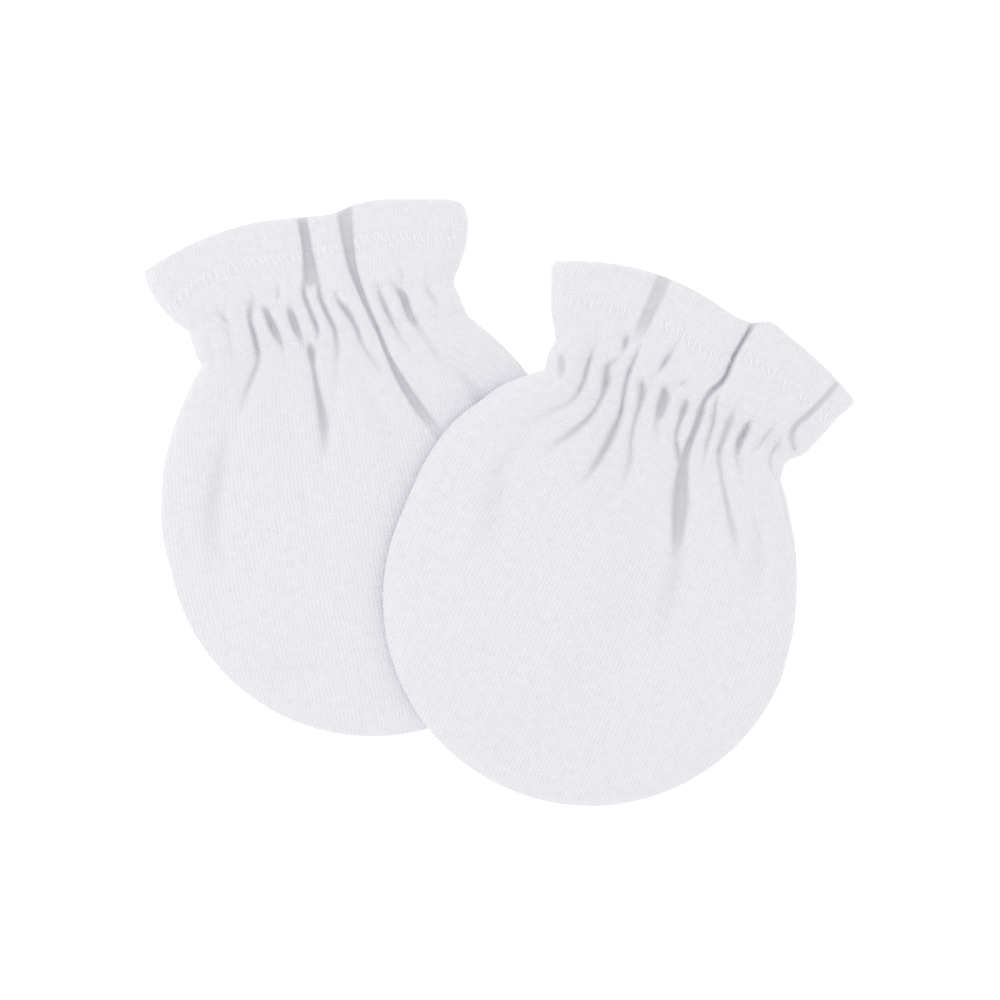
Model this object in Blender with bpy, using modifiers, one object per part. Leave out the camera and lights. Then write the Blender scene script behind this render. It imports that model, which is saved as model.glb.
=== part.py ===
"""Pair of baby mittens, laid flat: the right mitten lies over the side of the left one.

Each mitten is a front panel over a back panel, joined at the outline. A panel is one wall of
cotton cloth: a round body, a wrist drawn in by an elastic band, and a flared cuff whose hem
is turned in. The two bands lie inside the wrist, one under each panel's gathers.

A panel's middle surface is a grid of rows (across) and columns (along). Its columns follow
the gathers from the body through the wrist to the hem, and Solidify gives it its wall.
Lengths are in millimetres in each mitten's own frame: x across, y along, from the middle of
the round body towards the hem, and z up from the table.
"""

import math
from collections import namedtuple

import bpy
import numpy as np

COLLECTION = "baby_mittens"
METRES = 0.001

# Cloth and band
CLOTH = 1.0             # wall of the cotton
SEAM_GAP = 0.3          # between pieces that are sewn together
BAND = 1.0              # wall of the elastic
BAND_WIDTH = 8.0        # along the mitten
BAND_HALF_LENGTH = 22.4

# Shape of the flattened mitten
RIM = 4.0               # width of the rounded rim beside a seam
RIM_COLUMN = 1.6        # first column inside the rim
SEAM_BULGE = 0.3        # a wall stands this far past its middle surface at a seam
BODY_CROWN = 1.2        # extra height in the middle of the body
CROWN_REACH = 15.0      # how far inside the rim the crown is full
BACK_PUCKER = 0.5       # height of the back panel's gathers
BACK_GATHERS = 4

# Hem
HEM_TURN = 10.6         # cloth turned in at the cuff
HEM_INSET = 3.4         # the turned cloth is this much narrower on each side
HEM_FOLD_ANGLES = (45.0, 90.0, 135.0, 180.0)
HEM_TURN_ROWS = 3

# Where the right mitten lies on the left one
LAY_CLEARANCE = 0.6     # between the left mitten's top and the right one's underside
LAY_FALL = 17.0         # length over which the right mitten comes down to the table

# Lower rows of a panel are arcs: the first is the round body's own lower quarter.
BODY_ROWS = (0.0, 0.022, 0.08, 0.15, 0.23, 0.32, 0.41, 0.50, 0.59, 0.68, 0.76, 0.83, 0.89, 0.95, 1.0)
CUFF_ROWS = (0.17, 0.34, 0.50, 0.67, 0.84, 1.0)
GATHER_HEIGHT = 18.0    # where a gather's "body" place is given
ARC_END = math.sqrt(0.5)

Side = namedtuple("Side", "along left right")
Hem = namedtuple("Hem", "across along")
Gather = namedtuple("Gather", "wrist body hem depth down up")
Level = namedtuple("Level", "along seam plateau")
Mitten = namedtuple("Mitten", "name centre turn middle radius wrist sides hem gathers")

# Height of the seam and of the front panel's middle surface, along from the wrist's lower edge.
LEVELS = (
    Level(-80.0, 1.65, 3.1),
    Level(-20.0, 1.65, 3.3),
    Level(-9.0, 2.1, 4.6),
    Level(-1.5, 3.0, 6.9),
    Level(9.0, 3.0, 6.9),
    Level(15.0, 2.9, 6.1),
    Level(30.0, 2.8, 5.7),
)

LEFT = Mitten(
    name="left",
    centre=(-26.0, -5.2),
    turn=math.radians(11.0),
    middle=(0.3, -0.5),
    radius=41.1,
    wrist=39.0,
    sides=(
        Side(0.0, -40.9, 41.4),
        Side(6.0, -41.1, 41.2),
        Side(15.0, -39.7, 40.2),
        Side(25.0, -36.1, 36.6),
        Side(33.5, -31.0, 31.0),
        Side(38.8, -27.0, 27.1),
        Side(43.5, -27.7, 26.3),
        Side(48.0, -30.5, 27.6),
        Side(54.0, -33.7, 30.4),
        Side(58.0, -34.5, 31.1),
        Side(60.0, -33.9, 30.9),
    ),
    hem=(
        Hem(-34.0, 58.9), Hem(-25.0, 61.4), Hem(-12.0, 63.3), Hem(0.0, 62.5), Hem(5.0, 62.2),
        Hem(9.0, 63.1), Hem(13.0, 63.2), Hem(20.0, 62.2), Hem(28.0, 60.6), Hem(31.0, 57.8),
    ),
    gathers=(
        Gather(-23.8, -31.0, -28.5, 0.8, 8.0, 9.0),
        Gather(-20.0, -27.5, -23.5, 0.9, 9.0, 9.0),
        Gather(-15.4, -23.5, -17.5, 1.7, 22.0, 13.0),
        Gather(-11.0, -14.5, -11.5, 1.7, 11.0, 11.0),
        Gather(-6.6, -6.2, -6.8, 1.9, 34.0, 10.0),
        Gather(-3.0, -3.6, -3.8, 1.4, 9.0, 9.0),
        Gather(0.3, -0.9, -1.2, 1.7, 32.0, 30.0),
        Gather(4.6, 9.0, 3.0, 1.7, 20.0, 9.0),
        Gather(8.4, 15.5, 7.5, 2.0, 34.0, 30.0),
        Gather(11.6, 19.5, 12.0, 1.5, 12.0, 11.0),
        Gather(15.6, 24.5, 16.5, 1.7, 22.0, 12.0),
        Gather(20.7, 30.0, 23.0, 1.1, 9.0, 8.0),
    ),
)

RIGHT = Mitten(
    name="right",
    centre=(18.0, -17.8),
    turn=math.radians(-25.0),
    middle=(0.2, -0.8),
    radius=42.0,
    wrist=36.3,
    sides=(
        Side(0.0, -41.8, 42.0),
        Side(10.0, -41.2, 40.3),
        Side(20.0, -38.8, 36.4),
        Side(25.5, -36.0, 33.5),
        Side(30.5, -33.0, 30.4),
        Side(36.4, -27.0, 25.8),
        Side(40.0, -27.5, 24.9),
        Side(44.0, -28.5, 27.6),
        Side(48.0, -31.0, 28.8),
        Side(52.7, -33.1, 30.3),
        Side(56.0, -34.4, 31.7),
        Side(58.0, -33.6, 31.8),
    ),
    hem=(
        Hem(-34.0, 56.6), Hem(-25.0, 59.9), Hem(-15.0, 62.2), Hem(-11.0, 62.4), Hem(-5.0, 62.2),
        Hem(5.0, 61.2), Hem(7.0, 61.4), Hem(9.0, 62.7), Hem(15.0, 61.8), Hem(20.0, 60.5),
        Hem(25.0, 58.8), Hem(31.5, 56.1),
    ),
    gathers=(
        Gather(-24.2, -32.0, -28.5, 0.9, 9.0, 8.0),
        Gather(-19.2, -28.8, -22.0, 1.3, 20.0, 9.0),
        Gather(-15.0, -21.0, -17.0, 1.7, 21.0, 12.0),
        Gather(-10.8, -11.0, -12.6, 1.9, 30.0, 30.0),
        Gather(-7.2, -4.0, -6.5, 1.5, 22.0, 11.0),
        Gather(-2.8, 0.5, -2.8, 1.9, 11.0, 10.0),
        Gather(1.4, 5.5, 1.8, 1.5, 9.0, 8.0),
        Gather(4.9, 11.0, 6.6, 2.1, 38.0, 30.0),
        Gather(8.2, 15.5, 9.8, 1.3, 10.0, 8.0),
        Gather(11.2, 21.5, 13.0, 1.6, 27.0, 9.0),
        Gather(14.6, 25.5, 17.0, 1.7, 11.0, 9.0),
        Gather(18.2, 29.0, 21.0, 1.1, 9.0, 8.0),
        Gather(21.5, 32.0, 25.0, 1.3, 9.0, 30.0),
    ),
)


def along(table, column, at):
    """One column of a table that runs along the mitten, by straight lines between its rows."""
    return np.interp(at, [row.along for row in table], [getattr(row, column) for row in table])


def curve(table, column, at):
    """The same, by a smooth curve: cubic pieces whose slopes follow the rows on both sides."""
    places = np.array([row.along for row in table])
    values = np.array([getattr(row, column) for row in table])
    slopes = np.gradient(values, places)
    low = np.clip(np.searchsorted(places, at) - 1, 0, len(places) - 2)
    step = places[low + 1] - places[low]
    share = np.clip((at - places[low]) / step, 0.0, 1.0)
    rest = 1.0 - share
    ends = values[low] * (1.0 + 2.0 * share) * rest ** 2 + values[low + 1] * (3.0 - 2.0 * share) * share ** 2
    return ends + step * share * rest * (slopes[low] * rest - slopes[low + 1] * share)


def smoothstep(value):
    """Zero to one with level ends."""
    clipped = np.clip(value, 0.0, 1.0)
    return clipped * clipped * (3.0 - 2.0 * clipped)


def edge(mitten, side, at):
    """Left or right edge at the heights 'at': the round body's circle, then the table."""
    sign = -1.0 if side == "left" else 1.0
    middle_x, middle_y = mitten.middle
    circle = middle_x + sign * np.sqrt(np.maximum(mitten.radius ** 2 - (at - middle_y) ** 2, 0.0))
    return np.where(at < 0.0, circle, curve(mitten.sides, side, at)) - sign * SEAM_BULGE


def outline(mitten):
    """Closely spaced points on both sides and round the bottom, for distances to the seam."""
    angles = np.radians(np.arange(-178.0, -1.0, 2.0))
    bottom = np.column_stack([np.cos(angles), np.sin(angles)]) * (mitten.radius - SEAM_BULGE) + mitten.middle
    heights = np.arange(0.0, mitten.sides[-1].along + 8.0, 0.5)
    left = np.column_stack([edge(mitten, "left", heights), heights])
    right = np.column_stack([edge(mitten, "right", heights), heights])
    return np.vstack([bottom, left, right])


def inside(mitten, x, y):
    """Distance from each point to the seam."""
    points = outline(mitten)
    return np.sqrt((x[..., None] - points[:, 0]) ** 2 + (y[..., None] - points[:, 1]) ** 2).min(axis=-1)


def front_height(mitten, x, y):
    """Front panel's middle surface: from the seam up a rounded rim to the plateau and crown."""
    depth = inside(mitten, x, y)
    seam = along(LEVELS, "seam", y - mitten.wrist) + (SEAM_GAP + CLOTH) / 2
    plateau = along(LEVELS, "plateau", y - mitten.wrist)
    reach = np.minimum(smoothstep(depth / CROWN_REACH), smoothstep((mitten.wrist - y) / CROWN_REACH))
    crown = BODY_CROWN * reach
    rim = np.sqrt(1.0 - (1.0 - np.clip(depth / RIM, 0.0, 1.0)) ** 2)
    return seam + (plateau + crown - seam) * rim


def back_height(mitten, x, y):
    """Back panel's middle surface: flat on the table, turned up to the seam at its rim."""
    depth = inside(mitten, x, y)
    seam = along(LEVELS, "seam", y - mitten.wrist) - (SEAM_GAP + CLOTH) / 2
    rim = np.sqrt(1.0 - (1.0 - np.clip(depth / RIM, 0.0, 1.0)) ** 2)
    return seam + (CLOTH / 2 - seam) * rim


def place(mitten, x, y):
    """From a mitten's own frame to the pair's frame."""
    cos, sin = math.cos(mitten.turn), math.sin(mitten.turn)
    return mitten.centre[0] + x * cos - y * sin, mitten.centre[1] + x * sin + y * cos


def lay(mitten, x, y):
    """Height that the mitten is lifted: the right one lies on the left one's round body."""
    if mitten.name == "left":
        return np.zeros_like(x)
    pair_x, pair_y = place(mitten, x, y)
    middle_x, middle_y = place(LEFT, *LEFT.middle)
    depth = LEFT.radius - np.hypot(pair_x - middle_x, pair_y - middle_y)
    top = LEVELS[1].plateau + CLOTH / 2 + LAY_CLEARANCE + BODY_CROWN * smoothstep(depth / CROWN_REACH)
    return top * smoothstep(1.0 + depth / LAY_FALL)


def with_ridges(values, low, high):
    """Columns from the gathers: an edge, a rim column, then ridges between the gathers."""
    ends = np.concatenate([[low], values, [high]])
    middles = (ends[1:] + ends[:-1]) / 2
    inner = np.empty(len(values) + len(middles))
    inner[0::2] = middles
    inner[1::2] = values
    return np.concatenate([[low, low + RIM_COLUMN], inner, [high - RIM_COLUMN, high]])


def column_shares(mitten, gathers):
    """Place of every column as a share of the width, at the body, the wrist and the hem."""
    stations = (("body", GATHER_HEIGHT), ("wrist", mitten.wrist + BAND_WIDTH / 2), ("hem", mitten.sides[-1].along))
    shares = []
    for station, height in stations:
        low = float(edge(mitten, "left", np.array(height)))
        high = float(edge(mitten, "right", np.array(height)))
        values = np.array([getattr(gather, station) for gather in gathers])
        shares.append((with_ridges(values, low, high) - low) / (high - low))
    return [height for _, height in stations], np.array(shares)


def row_points(mitten, shares_at, end_height, sag, hem_share):
    """One row: a chord between the edges, sagging as an arc in the body, bowed at the hem."""
    heights, shares = shares_at
    share = np.array([np.interp(end_height, heights, column) for column in shares.T])
    low = float(edge(mitten, "left", np.array(end_height)))
    high = float(edge(mitten, "right", np.array(end_height)))
    x = low + share * (high - low)
    if sag > 0.0:
        half = (high - low) / 2
        bend = (half ** 2 + sag ** 2) / (2 * sag)
        return x, end_height - np.sqrt(bend ** 2 - (x - (low + high) / 2) ** 2) + bend - sag
    hem = np.interp(x, [point.across for point in mitten.hem], [point.along for point in mitten.hem])
    return x, mitten.wrist + (hem - mitten.wrist) * hem_share


def panel_rows(mitten, gathers):
    """Middle-surface places of a panel from the bottom of the body to the hem edge."""
    shares_at = column_shares(mitten, gathers)
    radius = mitten.radius - SEAM_BULGE
    low_end = mitten.middle[1] - radius * ARC_END
    rows = []
    for share in BODY_ROWS:
        end_height = low_end + (mitten.wrist - low_end) * share
        sag = radius * (1.0 - ARC_END) * (1.0 - share)
        rows.append(row_points(mitten, shares_at, end_height, sag, 0.0))
    cuff_length = mitten.sides[-1].along - mitten.wrist
    for share in CUFF_ROWS:
        rows.append(row_points(mitten, shares_at, mitten.wrist + cuff_length * share, 0.0, share))
    x, y = np.array(rows).transpose(1, 0, 2)
    return x, y


def gather_drop(mitten, gathers, y):
    """Depth of each gather column along the mitten: full on the band, fading at both ends."""
    drop = np.zeros_like(y)
    band_top = mitten.wrist + BAND_WIDTH
    for index, gather in enumerate(gathers):
        column = 3 + 2 * index
        below = smoothstep(1.0 - (mitten.wrist - y[:, column]) / gather.down)
        above = smoothstep(1.0 - (y[:, column] - band_top) / gather.up)
        drop[:, column] = gather.depth * np.minimum(below, above)
    return drop


def turned_hem(mitten, x, y):
    """Places of the cloth turned in at the hem: half a circle, then rows back inside the cuff.

    Gives the rows' places and how far each lies from the outer cloth, towards the inside.
    """
    radius = (CLOTH + SEAM_GAP) / 2
    share = (x[-1] - x[-1, 0]) / (x[-1, -1] - x[-1, 0])
    turns = [(math.radians(angle), 0.0) for angle in HEM_FOLD_ANGLES]
    turns += [(math.pi, HEM_TURN * step / HEM_TURN_ROWS) for step in range(1, HEM_TURN_ROWS + 1)]
    rows_x, rows_y, depths = [], [], []
    for angle, back in turns:
        inset = HEM_INSET * angle / math.pi
        height = np.array(mitten.sides[-1].along - back)
        low = edge(mitten, "left", height) + inset
        high = edge(mitten, "right", height) - inset
        rows_x.append(low + share * (high - low))
        rows_y.append(y[-1] + radius * math.sin(angle) - back)
        depths.append(radius * (1.0 - math.cos(angle)))
    return np.array(rows_x), np.array(rows_y), np.array(depths)[:, None]


def front_panel(mitten):
    """Middle surface of a front panel with its gathers and turned hem."""
    x, y = panel_rows(mitten, mitten.gathers)
    hem_x, hem_y, depths = turned_hem(mitten, x, y)
    x, y = np.vstack([x, hem_x]), np.vstack([y, hem_y])
    z = front_height(mitten, x, y) - gather_drop(mitten, mitten.gathers, y)
    z[-len(depths):] -= depths
    return x, y, z


def back_gathers(mitten):
    """Even gathers of the back panel, with the same reach each."""
    places = np.linspace(-1.0, 1.0, BACK_GATHERS + 2)[1:-1]
    return [Gather(22.5 * p, 31.0 * p, 28.0 * p, -BACK_PUCKER, 12.0, 12.0) for p in places]


def back_panel(mitten):
    """Middle surface of a back panel: its gathers stand up inside the wrist."""
    gathers = back_gathers(mitten)
    x, y = panel_rows(mitten, gathers)
    hem_x, hem_y, depths = turned_hem(mitten, x, y)
    x, y = np.vstack([x, hem_x]), np.vstack([y, hem_y])
    z = back_height(mitten, x, y) - gather_drop(mitten, gathers, y)
    z[-len(depths):] += depths
    return x, y, z


def band(mitten, middle_height):
    """Middle surface of a wrist band: a level strip inside the gathers."""
    across = np.linspace(-BAND_HALF_LENGTH, BAND_HALF_LENGTH, 13)
    centre = float(edge(mitten, "left", np.array(mitten.wrist)) + edge(mitten, "right", np.array(mitten.wrist))) / 2
    heights = mitten.wrist + BAND_WIDTH * np.linspace(0.0, 1.0, 3)
    x, y = np.meshgrid(centre + across, heights)
    return x, y, np.full_like(x, middle_height)


def grid_object(name, mitten, surface, wall, material, collection):
    """Mesh object of a middle-surface grid with a wall on both sides of it."""
    x, y, z = surface
    z = z + lay(mitten, x, y)
    pair_x, pair_y = place(mitten, x, y)
    points = np.stack([pair_x, pair_y, z], axis=-1).reshape(-1, 3) * METRES
    rows, columns = x.shape
    first = np.arange(rows * columns).reshape(rows, columns)
    corners = (first[:-1, :-1], first[:-1, 1:], first[1:, 1:], first[1:, :-1])
    faces = np.stack(corners, axis=-1).reshape(-1, 4)
    mesh = bpy.data.meshes.new(name)
    mesh.from_pydata(points.tolist(), [], faces.tolist())
    mesh.shade_smooth()
    mesh.materials.append(material)
    piece = bpy.data.objects.new(name, mesh)
    collection.objects.link(piece)
    solidify = piece.modifiers.new("wall", "SOLIDIFY")
    solidify.thickness = wall * METRES
    solidify.offset = 0.0
    return piece


def cloth_material(name, colour, roughness):
    """Principled material of one finish."""
    material = bpy.data.materials.new(name)
    material.use_nodes = True
    shader = material.node_tree.nodes["Principled BSDF"]
    shader.inputs["Base Color"].default_value = colour
    shader.inputs["Roughness"].default_value = roughness
    shader.inputs["Metallic"].default_value = 0.0
    return material


def clear_scene():
    """Remove what the scene starts with."""
    for item in list(bpy.data.objects):
        bpy.data.objects.remove(item, do_unlink=True)


def build():
    """Both mittens, each of two panels and two wrist bands."""
    clear_scene()
    collection = bpy.data.collections.new(COLLECTION)
    bpy.context.scene.collection.children.link(collection)
    cotton = cloth_material("white_cotton", (0.86, 0.86, 0.87, 1.0), 0.95)
    elastic = cloth_material("white_elastic", (0.82, 0.82, 0.82, 1.0), 0.8)
    back_band = CLOTH + BACK_PUCKER + SEAM_GAP + BAND / 2
    front_band = back_band + BAND + SEAM_GAP
    for mitten in (LEFT, RIGHT):
        name = mitten.name
        grid_object(name + "_back_panel", mitten, back_panel(mitten), CLOTH, cotton, collection)
        grid_object(name + "_back_elastic", mitten, band(mitten, back_band), BAND, elastic, collection)
        grid_object(name + "_front_elastic", mitten, band(mitten, front_band), BAND, elastic, collection)
        grid_object(name + "_front_panel", mitten, front_panel(mitten), CLOTH, cotton, collection)


build()
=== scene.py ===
"""Pair of baby mittens in white cotton interlock, laid flat, the right one over the left one.

Every panel is a closed shell over a grid of rows (across the mitten) and columns (along it).
Heights are a formula of the place on the mitten: a rounded rim at the seam, a plateau, and
creases that run along short given paths. Places are in millimetres in each mitten's own
frame: x across, y along from the middle of the round body to the hem, h out from the seam.
"""

import math
from collections import namedtuple

import bpy
import numpy as np
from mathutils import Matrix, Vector


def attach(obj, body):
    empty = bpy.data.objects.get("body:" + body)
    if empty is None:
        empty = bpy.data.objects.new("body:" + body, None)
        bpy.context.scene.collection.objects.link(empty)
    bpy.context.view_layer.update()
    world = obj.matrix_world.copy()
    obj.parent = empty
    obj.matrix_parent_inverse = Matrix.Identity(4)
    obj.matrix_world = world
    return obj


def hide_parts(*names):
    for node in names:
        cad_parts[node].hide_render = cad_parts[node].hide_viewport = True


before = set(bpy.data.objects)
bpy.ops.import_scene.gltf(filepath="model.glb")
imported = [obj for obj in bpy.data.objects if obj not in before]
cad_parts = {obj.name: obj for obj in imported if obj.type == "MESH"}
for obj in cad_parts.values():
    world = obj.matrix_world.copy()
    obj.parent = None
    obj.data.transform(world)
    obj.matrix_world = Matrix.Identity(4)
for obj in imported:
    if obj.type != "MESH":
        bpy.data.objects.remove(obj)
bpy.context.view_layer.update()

METRES = 0.001

# Cloth and seams
CLOTH = 0.9                 # wall of the cotton
SEAM_HALF_GAP = 0.06
SEAM_LIP = 0.12             # upright part of the wall's edge at a seam
RIM = 5.0                   # width of the front's rounded rim
BACK_RIM = 2.4              # and of the back's, which lies flatter
ALLOWANCE = 6.4             # width of the turned-in seam, felt through the cloth
ALLOWANCE_RISE = 0.14
CROWN = 1.1                 # how far the round body swells above its rim
CROWN_REACH = 16.0
FOLD_GAP = 0.26             # between the two layers of a turned hem
HEM_TURN = 10.6
HEM_INSET = 3.2             # how far in from the edges the turned cloth's ends lie
HEM_ANGLES = (0.30, 0.62, 0.94, 1.26, 1.57, 1.88, 2.20, 2.51, 2.83, math.pi)
HEM_TURN_ROWS = 6
TRIES = 600                 # places tried along a row to spread its columns
DENSITY_PASSES = 120        # of averaging over rows
FOLD_RADIUS = CLOTH + FOLD_GAP / 2      # round the outside of the hem's fold
HEM_STITCH_GAP = 2.6        # between the hem's two stitch rows
BAND_WIDTH = 8.0
BACK_GRID = (120, 1.7)      # columns, and how coarse the rows are
FRONT_GRID = (200, 1.0)
ARC_END = math.sqrt(0.5)    # the first row ends where the round body's sides stand at 45 degrees

# Creases
SKIRT = 0.28                # share of a crease's depth that is a wide soft hollow round its trough
SKIRT_WIDTH = 2.4
SPREAD = 1.35               # creases are wider on a wall's inner side, so that the wall keeps its thickness
TURNED_SPREAD = 1.8         # and wider again under the turned hem
PUFF = 0.35                 # between the elastic's two stitch lines
BACK_GROOVE = 0.4           # depth of the back's stitch grooves against the front's
BACK_SHARE = 0.33           # depth of the back's creases against the front's
BACK_SHIFT = 1.7            # the back's creases are the front's, turned over and shifted
BACK_FADE = 15.0
CREASE_SHADE_START = 0.3       # creases deeper than this get painted shade inside
CREASE_SHADE_REACH = 1.4

# Wrist elastic, one strip behind each panel
BAND = 0.9
BAND_HALF_LENGTH = 22.4
BACK_BAND_HEIGHT = 2.3
FRONT_BAND_HEIGHT = 3.6

# Stitches
THREAD = 0.10               # radius
CROSS_THREAD = 0.14         # the crossing thread lies in loose double strands
STITCH_RINGS = 5
STITCH_HIDDEN = 1.2         # stitches in creases deeper than this are out of sight and left out
STITCH_SINK = 0.05          # a stitch's ends lie this deep in the cloth
HEM_STITCH = 1.3
BAND_STITCH = 1.9
ROW_LIFT = 0.04             # how far the middle of a stitch stands off the cloth
CROSS_LIFT = 0.18
BAND_LIFT = 0.10
TACK_LIFT = 0.08
TACK_THREAD = 0.09
TACK_PLACE = (2.0, 28.0)
TACK_STITCH = 1.25

# Finishes; places and heights on the cloth in metres
WALE = 0.00078
COURSE = 0.00057
KNIT_HEIGHT = 0.00014
KNIT_BUMP = 0.7
# how much painted shade the knit's hollows get
KNIT_SHADE = 0.5
KNIT_WANDER = 0.4           # wales and loops stray by this share of their spacing
FUZZ_SCALE = 1900.0
WEAR_SCALE = 700.0
WANDER_SCALE = 170.0
TWIST_SCALE = 6000.0
TWIST_HEIGHT = 0.00003
ELASTIC_RIB = 0.0011
COTTON_WHITE = (0.893, 0.886, 0.93, 1.0)
# painted shade in the knit's hollows, between the wales and under the loops
COTTON_SHADE = (0.72, 0.72, 0.76, 1.0)
# painted shade inside the creases, mixed in by the fold attribute
COTTON_CREASE_SHADE = (0.70, 0.70, 0.735, 1.0)
THREAD_WHITE = (0.95, 0.945, 0.96, 1.0)
ELASTIC_WHITE = (0.80, 0.80, 0.80, 1.0)
# painted shade in the valleys of the elastic's ribs
ELASTIC_SHADE = (0.66, 0.66, 0.66, 1.0)
FLOOR_COLOUR = (0.65, 0.65, 0.65, 1.0)
WHITE = (1.0, 1.0, 1.0, 1.0)
FLOOR_GLOW = 0.5
FLOOR_SIZE = 6.0
FLOOR_DROP = 0.00002        # keeps the floor and the cloth on it apart
ROOM_STRENGTH = 0.97
KEY_POWER = 0.3
KEY_SIZE = 0.3
KEY_PLACE = (-0.36, 0.22, 0.5)
CAMERA_PLACE = (0.0, 0.0006, 1.203)
CAMERA_LENS = 216.0         # long, so that the pair is seen almost without perspective

# Where the right mitten lies on the left one
LAY_TOP = 3.4
LAY_RISE = 0.75             # towards the left one's wrist, which is thicker
LAY_RISE_REACH = 22.0
LAY_CROWN = 1.2
LAY_CROWN_REACH = 15.0
LAY_FALL = 17.0

Side = namedtuple("Side", "along left right")
Hem = namedtuple("Hem", "across along")
Level = namedtuple("Level", "along seam plateau deepest cloth")
Band = namedtuple("Band", "across low high")
Stitch = namedtuple("Stitch", "across along")
Crease = namedtuple("Crease", "square points")
At = namedtuple("At", "x y depth width")
Step = namedtuple("Step", "x y rise reach")
Mitten = namedtuple("Mitten", "name centre turn middle radius wrist sides hem band stitches creases steps")

# Along from the wrist's lower edge: height of the seam, then of the front's outside above it, the least
# that a crease leaves of that, and millimetres of cloth gathered into each millimetre across.
LEVELS = (
    Level(-80.0, 1.05, 2.1, 0.8, 1.0),
    Level(-22.0, 1.05, 2.2, 0.8, 1.0),
    Level(-12.0, 1.5, 2.85, 0.8, 1.05),
    Level(-4.0, 2.5, 3.75, 1.6, 1.17),
    Level(0.0, 3.0, 4.1, 2.1, 1.24),
    Level(8.0, 3.0, 4.1, 2.1, 1.24),
    Level(13.0, 2.9, 3.8, 1.5, 1.14),
    Level(30.0, 2.8, 3.7, 1.4, 1.08),
)


def crease(square, *points):
    """A crease: how square its trough is, and rows of x, y, depth and half-width along it."""
    return Crease(square, tuple(At(*point) for point in points))


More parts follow.
